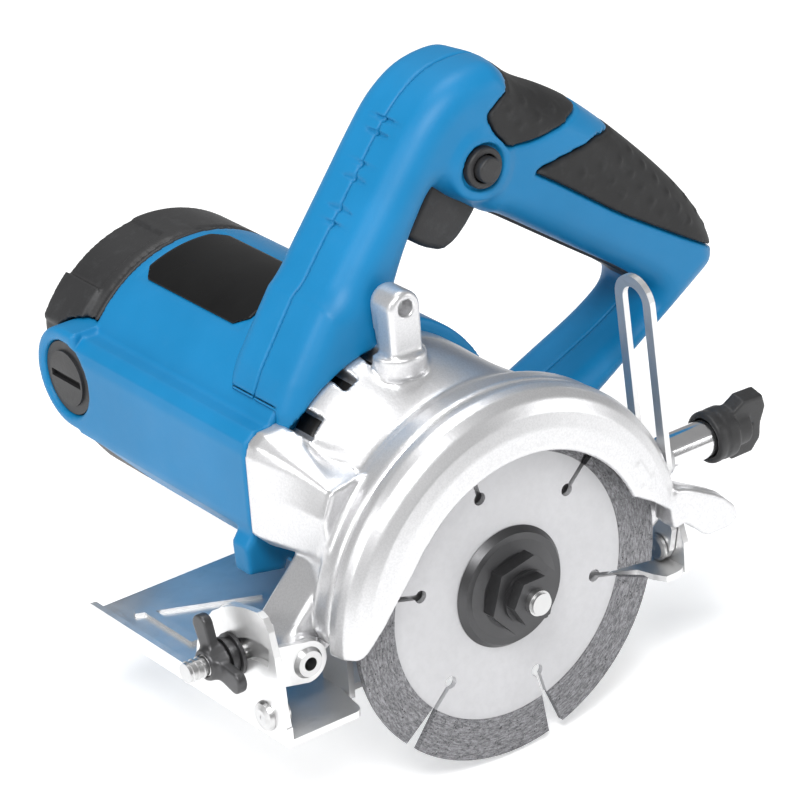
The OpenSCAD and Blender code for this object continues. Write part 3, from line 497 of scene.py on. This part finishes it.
# short cross ribs at the front seam
for u in np.linspace(0, 1, 6):
    cx, cz = (-3.2 + 0.0, 142.0)
for (cx, cz) in [(4.6, 151.6), (1.6, 148.0), (-4.6, 140.2), (-7.4, 136.6), (-13.2, 128.8), (-16.2, 124.8)]:
    rib = np.abs((x - cx) * 0.62 + (z - cz) * 0.78) - 0.75 * np.clip(1 - np.abs(y - HY) / 9.0, 0, 1)
    rib = np.maximum(rib, np.abs((x - cx) * 0.78 - (z - cz) * 0.62) - 6)
    body = np.maximum(body, -np.maximum(np.maximum(rib, -(H + 1.1)), np.abs(y - HY) - 8.4))
near = smax(body, y - (HY - 0.12), 0.5)
far = smax(body, (HY + 0.12) - y, 0.5)
add_field("handle_near", near, AX, h, M_BLUE, "saw_body", ("handle_shell_blade_side",))
add_field("handle_far", far, AX, h, M_BLUE, "saw_body", ("handle_shell_motor_side",))
dots = []
for i in range(-40, 60):
    for j in range(-40, 60):
        dots.append((i * 7.4 + (j % 2) * 3.7, 60 + j * 5.6))


def pad(name, P, node):
    p3 = smax(P + 0.25, H - 0.15, 0.5)
    p3 = np.maximum(p3, -(H + 3.0))
    bump = np.zeros_like(P)
    for (cx, cz) in dots:
        if -5 < cx < 125 and 75 < cz < 165:
            bump = np.maximum(bump, np.clip(1.5 - np.sqrt((x - cx) ** 2 + (z - cz) ** 2), 0, 1))
    edge = np.clip((-P - 3.2) / 1.5, 0, 1)
    side_face = np.clip((np.abs(y - HY) - 9) / 5, 0, 1)
    p3 = p3 - 0.8 * bump * edge * side_face
    return add_field(name, p3, AX, h, M_RUBBER, "saw_body", (node,))


pad("pad_front", P1, "grip_pad_front")
pad("pad_rear", P2, "grip_pad_rear")
strip = smax(np.maximum(ST + 0.1, np.abs(y - HY) - 6.0), H - 0.9, 0.6)
add_field("grip_strip", strip, AX, h, M_BLACK, "saw_body", ("grip_underside_strip",))

# trigger and lock button
ht = 0.55 * K
AT = axes3((0, 42, 102), (42, 62, 140), ht)
x, y, z = AT
x2, z2 = x[:, 0, :], z[0, :, :]


def nd(n, d):
    return (0.8 * n + 0.6 * d, -0.6 * n + 0.8 * d)


TR = [nd(-67.1, 97.5), nd(-65, 95.4), nd(-58, 95.2), nd(-51, 96.6), nd(-48.0, 101), nd(-46.5, 108), nd(-46.3, 120.4), nd(-67.1, 120.4)]
V = extr(sd_poly(chaikin(TR, 1, 0.2), x2, z2)[:, None, :], y, 43.6, 60.4, 2.2)
add_field("trigger_piece", V, AT, ht, M_BLACK, "trigger", ("switch_trigger",))
hb = 0.35 * K
AB = axes3((18.5, 29, 128), (33, 40.5, 142.5), hb)
x, y, z = AB
V = extr(circ(x, z, 25.8, 135.1, 3.95), y, 29.6, 40, 0.7)
add_field("lock_piece", V, AB, hb, M_BLACK, "lock_button", ("lock_on_button",))
V = extr(circ(x, z, 25.8, 135.1, 6.4), y, 32.1, 36, 0.9)
V = smax(V, -(circ(x, z, 25.8, 135.1, 4.35)), 0.3)
add_field("lock_ring", V, AB, hb, M_BLACK, "saw_body", ("lock_button_collar",))

# near-black sheets on the floors of the vents: painted shade standing in for the dark inside of the openings
for a0, wv in ((138.5, 7.2), (115.0, 4.7), (99.0, 4.7)):
    Rv = RC - 8.9
    hw = wv / 2 / Rv
    vv, ff = [], []
    for ia in range(7):
        ta = math.radians(a0) - hw + 2 * hw * ia / 6
        for (rr, yy) in ((Rv, 29.0), (Rv, 40.4), (Rv - 0.5, 40.4), (Rv - 0.5, 29.0)):
            vv.append((CX + rr * math.cos(ta), yy, CZ + rr * math.sin(ta)))
    for ia in range(6):
        b0, b1 = ia * 4, ia * 4 + 4
        for q in range(4):
            ff.append((b0 + q, b0 + (q + 1) % 4, b1 + (q + 1) % 4, b1 + q))
    ff += [(3, 2, 1, 0), (24, 25, 26, 27)]
    add_mesh("vent_shade_sheet_%d" % int(a0), vv, ff, M_LABEL_AND_VENT_SHADE, "saw_body", (), smooth=False)
# ------------------------------------------------------------------ motor housing
h = 0.9 * K
AX = axes3((-61.5, 33, 5), (33, 156, 96.5), h)
x, y, z = AX
x2, z2 = x[:, 0, :], z[0, :, :]
m2 = sd_poly(motor2d(), x2, z2)[:, None, :]
V = extr(m2, y, 41.1, 134.4, 0.7)
b2 = sd_poly([(132, 44)] + arc(138.5, 60.5, 16.5, -90, 90, 30) + [(132, 77)], y[0, :, :], z[0, :, :])[None, :, :]
V = np.minimum(V, extr(b2, x, -60.5, -47, 1.6))
# foot with the assembly screw
fp = sd_poly([(-62, 30), (-49, 27.5), (-46, 42), (-58, 45), (-62.5, 39)], x2, z2)[:, None, :]
V = smin(V, extr(fp, y, 41.4, 50, 1.6), 1.5)
V = smax(V, -extr(circ(y, z, 138.5, 60.5, 12.4), x, -70, -57.2, 0.4), 0.5)
V = smax(V, -np.maximum(np.maximum(circ(x, z, CX, CZ, RC + 4), -circ(x, z, CX, CZ, RC - 0.35)), np.maximum(np.abs(np.arctan2(z - CZ, x - CX) - math.radians(98.3)) * RC - 16.4, np.abs(y - 103) - 27.4)), 0.3)
add_field("motor_shell", V, AX, h, M_BLUE, "saw_body", ("motor_housing",))

# end cap
AX = axes3((-59, 133, 5), (34, 162, 98), h)
x, y, z = AX
x2, z2 = x[:, 0, :], z[0, :, :]
c2 = sd_poly(arc(CX, CZ, RC, 152, -24, 50) + arc(MX, MZ, 34.8, -46, -138, 20) + [(-52, 40), (-54, 56)], x2, z2)[:, None, :]
V = extr(c2, y, 120, 161, 3.6)
V = np.maximum(V, 134.5 - y)
# raised block beside the brush cap, its step, and the narrow joint band
ang = np.degrees(np.arctan2(z - CZ, x - CX))
rad = np.sqrt((x - CX) ** 2 + (z - CZ) ** 2)
s1 = (ang - 131.0) * math.pi / 180 * RC
blk = np.maximum(np.maximum(rad - (RC + 1.6), RC - 6 - rad), np.maximum(-s1, ang - 151.0))
blk = smax(blk, np.maximum(139.5 - y, y - 159.0), 1.4)
V = smin(V, blk, 1.0)
low = np.maximum(np.maximum(RC - 1.5 - rad, s1 + 0.2), np.maximum(96.0 - ang, 141.5 - y))
V = smax(V, -low, 0.4)
V = smax(V, -np.maximum(-(c2 + 0.9), np.maximum(136.4 - y, y - 137.4)), 0.4)
b3 = sd_poly([(100, 43.6)] + arc(138.5, 60.5, 17.0, -90, 90, 30) + [(100, 77.4)], y[0, :, :], z[0, :, :])[None, :, :]
V = smax(V, -np.maximum(b3, x + 46.9), 0.5)
for i in range(-3, 4):
    V = np.maximum(V, -np.maximum(np.maximum(np.abs(x - (CX + i * 8)) - 1.5, np.abs(z - (CZ + 20)) - 10), 149 - y))
for i in range(-2, 3):
    V = np.maximum(V, -np.maximum(np.maximum(np.abs(x - (MX + i * 8)) - 1.5, np.abs(z - (MZ - 18.5)) - 5.5), 149 - y))
V = np.maximum(V, -np.maximum(circ(x, z, MX, MZ, 28.9), y - 151.4))
V = np.maximum(V, -np.maximum(circ(x, z, MX, MZ, 8.55), y - 157.8))
for (sx, sz) in ((-42.5, 67), (20.5, 68), (-28, 80), (27, 52)):
    V = np.maximum(V, -np.maximum(circ(x, z, sx, sz, 3.8), 153 - y))
    V = np.maximum(V, -circ(x, z, sx, sz, 1.98))
add_field("cap_shell", V, AX, h, M_BLACK, "saw_body", ("end_cap",))

# ------------------------------------------------------------------ gear housing and guard
h = 0.8 * K
AX = axes3((-74, 1.5, 0.5), (64, 41, 114), h)
x, y, z = AX
x2, z2 = x[:, 0, :], z[0, :, :]
nk = sd_poly(neck2d(), x2, z2)[:, None, :]
A = sd_poly(arc(SX, SZ, 61.6, 168, 2, 50) + [(60, 18), (46, 9), (18, 1.2), (-18, 1.2), (-44, 14)], x2, z2)[:, None, :]
t = np.clip((y - 9) / 24, 0, 1)
t = 0.55 * t + 0.45 * sm(t)
loft = (1 - t) * (A + 0.9 * (1 - t)) + t * nk
V = np.maximum(loft, np.maximum(4.5 - y, y - 41))
wall = sd_poly(arc(SX, SZ, 62.9, 175, 2, 60) + [(61.6, 18), (48, 9), (22, 1.5), (-22, 1.5), (-36, 9), (-48, 19.5), (-60, 20.6)], x2, z2)[:, None, :]
V = smin(V, extr(wall, y, 2.4, 11.5, 2.4), 3.0)
lb = sd_poly([(-60.5, 44), (-60.5, 69), (-59.1, 73), (-55.5, 75.4), (-46, 76), (-38, 60), (-40, 40), (-56.5, 40)], x2, z2)[:, None, :]
la = sd_poly([(-56.0, 45), (-56.4, 58), (-53, 66), (-42, 68), (-34, 44), (-40, 33)], x2, z2)[:, None, :]
t = np.clip((y - 11) / 26, 0, 1)
lobe = np.maximum((1 - t) * la + t * lb, np.maximum(9 - y, y - 41))
V = smin(V, lobe, 2.2)
V = smin(V, extr(circ(x, z, SX, SZ, 19.3), y, 4.5, 36, 2.0), 3.0)
leg = sd_poly(chaikin([(-74, 15), (-71.4, 22.6), (-66, 27.6), (-46, 48.6), (-36, 46), (-38, 30), (-60, 11.6), (-68, 9)], 1, 0.2), x2, z2)[:, None, :]
V = smin(V, extr(leg, y, 12.4, 29.6, 2.0), 2.0)
V = smin(V, extr(circ(x, z, PX, PZ, 7.2), y, 10.5, 30.5, 1.2), 1.5)
# water post
q = np.sqrt((x + 14.4) ** 2 + np.maximum(107.0 - z, 0) ** 2 * 0.0 + np.maximum(z - 107.0, 0) ** 2)
post = extr(q - 5.5, y, 20.6, 31.5, 1.6)
post = np.minimum(np.maximum(post, 84 - z), extr(circ(x, y, -14.4, 26.0, 8.2), z, 86, 93.0, 1.2))
V = smin(V, post, 2.2)
# lock boss
V = smin(V, np.maximum(circ(y, z, 10.5, 34, 6.4), np.maximum(x - 62.2, 50 - x)), 3.0)
# openings
V = np.maximum(V, -np.maximum(circ(x, z, -14.4, 107.4, 2.6), y - 25.5))
for (a, w) in ((138.5, 7.5), (115, 5), (99, 5)):
    ca, sa = math.cos(math.radians(a)), math.sin(math.radians(a))
    rr = (x - CX) * ca + (z - CZ) * sa
    tt = -(x - CX) * sa + (z - CZ) * ca
    V = smax(V, -np.maximum(np.maximum(np.abs(tt) - w / 2, RC - 9 - rr), 28.5 - y), 0.4)
V = np.maximum(V, -np.maximum(circ(x, z, PX, PZ, 3.3), 0 * y))
for a, b in ((7.2, 10.45), (30.55, 33.8)):
    V = np.maximum(V, -np.maximum(circ(x, z, PX, PZ, 7.35), np.maximum(a - y, y - b)))
V = np.maximum(V, -np.maximum(circ(x, z, SX, SZ, 9.0), y - 6.5))
V = np.maximum(V, -np.maximum(circ(x, z, SX, SZ, 13.0), np.maximum(6.1 - y, y - 12.6)))
V = np.maximum(V, -np.maximum(circ(y, z, 10.5, 34, 3.02), 50 - x))
V = np.maximum(V, 0.7 - z)
V = np.maximum(V, -np.maximum(np.maximum(61.7 - x, x - 80.0), np.maximum(np.maximum(1.0 - y, y - 22.0), np.maximum(7.0 - z, z - 27.7))))
add_field("gear_casting", V, AX, h, M_CAST, "saw_body", ("gear_housing",))

# guard: revolved section looked up from a table
h = 0.62 * K
AX = axes3((-64, -12, 12), (84, 2.6, 84.5), h)
x, y, z = AX
g = 63.2
prof = [(g - 3.2, 2.2), (g, 2.2), (g, -1), (g - 0.8, -4), (g - 2.9, -6.7), (g - 6.4, -8.9), (g - 11, -10.1), (46.4, -10.5), (45.2, -10.0), (44.9, -8.4), (46.0, -8.2), (g - 11.5, -7.9), (g - 7.6, -6.8), (g - 4.9, -4.9), (g - 3.3, -1.6)]
prof = [(r, yy) for r, yy in prof]
R = np.sqrt((x - SX) ** 2 + (z - SZ) ** 2)
tr = np.arange(38, 100, 0.25, dtype=np.float32)
ty = np.arange(-14, 5, 0.25, dtype=np.float32)
T = sd_poly(prof, tr[:, None], ty[None, :])
Rb, yb = np.broadcast_arrays(R, y)
fi = np.clip((Rb - tr[0]) / 0.25, 0, len(tr) - 1.01)
fj = np.clip((yb - ty[0]) / 0.25, 0, len(ty) - 1.01)
i0, j0 = fi.astype(int), fj.astype(int)
a, b = fi - i0, fj - j0
V = (T[i0, j0] * (1 - a) + T[i0 + 1, j0] * a) * (1 - b) + (T[i0, j0 + 1] * (1 - a) + T[i0 + 1, j0 + 1] * a) * b
V = np.where(Rb < 38.2, 8.0, V)
V = smax(V, 20.4 - z, 1.2)
x2, z2 = x[:, 0, :], z[0, :, :]
mouth = sd_poly([(-34.7, 49.1), (-45.1, 37), (-55, 24.5), (-59.4, 19), (-59.4, 5), (59.6, 5), (58.8, 21), (56.5, 27), (49, 33), (42.6, 37), (0, 20)], x2, z2)[:, None, :]
V = smax(V, -mouth, 1.4)
lug1 = extr(sd_poly(chaikin([(58, 33), (64, 31.5), (77, 24.5), (82, 19.5), (83, 15.5), (80.5, 13), (70, 13), (62.5, 20.5), (57, 20.5)], 1, 0.15), x2, z2)[:, None, :], y, -8.3, -2.7, 1.2)
lug2 = extr(sd_poly([(58, 33), (64, 31.5), (77, 24.5), (79, 22.6), (62.5, 22.6), (57, 21)], x2, z2)[:, None, :], y, -5, 0.7, 1.0)
V = smin(V, smin(lug1, lug2, 1.5), 2.0)
V = smax(V, -extr(sd_poly([(65, 6), (66, 17.5), (70, 20.6), (76, 19.4), (79, 16.6), (78, 6)], x2, z2)[:, None, :], y, -7.0, 0, 0.5), 0.5)
# outlined arrow pressed into the rim, pointing the way the blade turns
ang = np.arctan2(z - SZ, x - SX)
ar = (Rb - 51.3)
al = (ang * 180 / math.pi)
shaft = np.maximum(np.abs(ar) - 1.1, np.maximum(24.0 - al, al - 33.0) * 0.9)
head = np.maximum(np.maximum(19.0 - al, al - 24.5) * 0.9, np.abs(ar) - np.clip((al - 19.0) * 0.62, 0.0, 3.1))
arrow = np.minimum(shaft, head)
ring = np.abs(arrow + 0.3) - 0.35
V = V - 0.32 * np.clip(1 - np.maximum(ring, 0) / 0.5, 0, 1) * (y < -7)
add_field("guard_casting", V, AX, h, M_CAST, "saw_body", ("blade_guard",))

# ------------------------------------------------------------------ knobs
h = 0.5 * K
AX = axes3((85.5, 0, 20), (109, 21, 48), h)
x, y, z = AX
yy, zz = y - 10.5, z - 34
c, s_ = math.cos(math.radians(14)), math.sin(math.radians(14))
yr, zr = yy * c + zz * s_, -yy * s_ + zz * c
V = extr(np.sqrt(yy ** 2 + zz ** 2) - 8.3, x, 86, 94.5, 1.0)
V = smax(V, -np.maximum(np.abs(np.sqrt(yy ** 2 + zz ** 2) - 8.6) - 0.5, np.abs(x - 89.4) - 0.6), 0.4)
V = smin(V, extr(np.sqrt(yy ** 2 + zz ** 2) - 6.2, x, 90, 101, 1.0), 2.0)
w = extr(sd_poly([(91, -7), (94.5, -8.4), (97, -10.8), (105.0, -10.6), (107.6, -6), (106.8, 0), (107.6, 6), (105.6, 10.8), (98, 11.2), (94.5, 8.4), (91, 7)], x + 0 * zr, zr + 0 * x), yr, -2.9, 2.9, 0.7)
V = smin(V, w, 0.8)
V = np.maximum(V, -np.maximum(np.sqrt(yy ** 2 + zz ** 2) - 6.35, x - 89.8))
V = np.maximum(V, -np.maximum(np.sqrt(yy ** 2 + zz ** 2) - 3.05, x - 103))
add_field("lock_knob", V, AX, h, M_BLACK, "depth_knob", ("depth_lock_knob",))

sa = math.radians(46)
sy, sz = 7 + 20.3 * math.cos(sa), 6.5 + 20.3 * math.sin(sa)
h = 0.4 * K
AX = axes3((-95, sy - 17, sz - 17), (-86.5, sy + 17, sz + 17), h)
x, y, z = AX
yy, zz = y - sy, z - sz
rr = np.sqrt(yy ** 2 + zz ** 2)
V = smax(rr - (5.6 + (x + 87.35) * 0.14), np.maximum(-93.7 - x, x + 87.4), 0.8)
for a in (70, 190):
    ca, sn = math.cos(math.radians(a)), math.sin(math.radians(a))
    u, v = yy * ca + zz * sn, -yy * sn + zz * ca
    wing = np.sqrt(np.maximum(np.abs(u - 8.6) - 3.0, 0) ** 2 + (v * 0.86) ** 2) - 2.6 - 0.35 * np.clip((u - 6) / 6, 0, 1)
    wing = smax(wing, np.abs(x + 90.0) - 1.55, 0.6)
    V = smin(V, wing, 1.6)
V = np.maximum(V, -(rr - 3.42))
add_field("wing_nut_piece", V, AX, h, M_DARK, "wing_nut_body", ("wing_nut",))

# label plate bent round the back, corners cut
nu, nv = 48, 60
vt, fc = [], []
for lay, rr_ in ((0, RC + 0.34), (1, RC - 0.3)):
    for i in range(nu + 1):
        for j in range(nv + 1):
            a = 78.2 + 40.2 * i / nu
            yy = 76.2 + 53.6 * j / nv
            s_ = (a - 98.3) * math.pi / 180 * RC
            cut = 4.2
            hx, hy = 20.1 * math.pi / 180 * RC, 26.8
            ex = max(0.0, abs(s_) - (hx - cut)) + max(0.0, abs(yy - 103) - (hy - cut))
            if abs(s_) > hx - cut and abs(yy - 103) > hy - cut and ex > cut:
                k = cut / ex
                s_ = math.copysign(hx - cut + (abs(s_) - hx + cut) * k, s_)
                yy = 103 + math.copysign(hy - cut + (abs(yy - 103) - hy + cut) * k, yy - 103)
            t_ = math.radians(98.3) + s_ / RC
            vt.append((CX + rr_ * math.cos(t_), yy, CZ + rr_ * math.sin(t_)))
m_ = (nu + 1) * (nv + 1)
for i in range(nu):
    for j in range(nv):
        a = i * (nv + 1) + j
        q = (a, a + 1, a + nv + 2, a + nv + 1)
        fc.append(q)
        fc.append(tuple(m_ + k for k in q[::-1]))
rim = [i * (nv + 1) for i in range(nu)] + [nu * (nv + 1) + j for j in range(nv)] + [i * (nv + 1) + nv for i in range(nu, 0, -1)] + [j for j in range(nv, 0, -1)]
for a, b in zip(rim, rim[1:] + rim[:1]):
    fc.append((a, b, b + m_, a + m_))
add_mesh("label_skin", vt, fc, M_LABEL_AND_VENT_SHADE, "saw_body", ("label_plate",), smooth=False)

# edges of the pressed and turned pieces
for n in ("base_plate", "front_tilt_bracket", "rear_tilt_bracket", "depth_guide_bar"):
    bevel(n, 0.00035, 2)
for n in ("outer_flange", "flange_nut"):
    bevel(n, 0.0005, 2)
for n in ("blade_core", "blade_segments"):
    bevel(n, 0.00012, 1)
for n in ("brush_caps", "bevel_stud", "stud_washers", "depth_lock_sleeve", "depth_pivot_pin", "bevel_rivets"):
    bevel(n, 0.0002, 1, 50)

# ------------------------------------------------------------------ stage, light, camera
def plane(name, size, zpos, mat):
    me = bpy.data.meshes.new(name)
    me.from_pydata([(-size, -size, zpos), (size, -size, zpos), (size, size, zpos), (-size, size, zpos)], [], [(0, 1, 2, 3)])
    me.materials.append(mat)
    ob = bpy.data.objects.new(name, me)
    bpy.context.scene.collection.objects.link(ob)
    return ob


fl = N("floor_pale")
fl.set(Base_Color=fl.mix(fl.noise(3.0, 2.0), (0.93, 0.93, 0.93), (0.95, 0.95, 0.95)), Roughness=0.8)
fl.b.inputs["Emission Color"].default_value = (1, 1, 1, 1)
fl.b.inputs["Emission Strength"].default_value = 0.34
floor = plane("floor", 8.0, -0.0365, fl.m)

w = bpy.data.worlds.new("studio")
bpy.context.scene.world = w
w.use_nodes = True
nt = w.node_tree
bg = nt.nodes["Background"]
bg.inputs[0].default_value = (1, 1, 1, 1)
bg.inputs[1].default_value = 0.34


def area(name, loc, target, size, power, color=(1, 1, 1), sy_=None):
    d = bpy.data.lights.new(name, "AREA")
    d.energy = power
    d.size = size
    d.color = color
    if sy_:
        d.shape = "RECTANGLE"
        d.size_y = sy_
    o = bpy.data.objects.new(name, d)
    o.location = loc
    o.rotation_mode = "QUATERNION"
    o.rotation_quaternion = (Vector(target) - Vector(loc)).to_track_quat("-Z", "Y")
    bpy.context.scene.collection.objects.link(o)
    return o


tgt = (0.01, 0.05, 0.05)
area("key", (-0.55, -0.65, 1.1), tgt, 0.5, 13)
area("left", (-1.1, 0.1, 0.65), tgt, 0.4, 4.5)
area("right", (0.9, -0.7, 0.35), tgt, 0.4, 2.2)
area("top", (0.1, 0.35, 1.3), tgt, 0.5, 6)

az, el, roll, f, tx, ty_, tz = -35.143, 25.75, 4.268, 3977.415, 27.268, -56.473, 1167.081
a, e, r_ = map(math.radians, (az, el, roll))
back = Vector((math.sin(a) * math.cos(e), -math.cos(a) * math.cos(e), math.sin(e)))
right = Vector((math.cos(a), math.sin(a), 0))
up = back.cross(right)
cr, sr = math.cos(r_), math.sin(r_)
X = right * cr - up * sr
Y = right * sr + up * cr
loc = back * tz - right * tx - up * ty_ + Vector((0, 0, 20))
cam = bpy.data.objects.new("camera", bpy.data.cameras.new("camera"))
bpy.context.scene.collection.objects.link(cam)
cam.matrix_world = Matrix(((X.x, Y.x, back.x, loc.x / 1000), (X.y, Y.y, back.y, loc.y / 1000), (X.z, Y.z, back.z, loc.z / 1000), (0, 0, 0, 1)))
cam.data.sensor_width = 36
cam.data.lens = f / 800 * 36
cam.data.clip_start, cam.data.clip_end = 0.01, 50
bpy.context.scene.camera = cam
bpy.context.scene.view_settings.view_transform = "Standard"
bpy.context.scene.view_settings.look = "None"
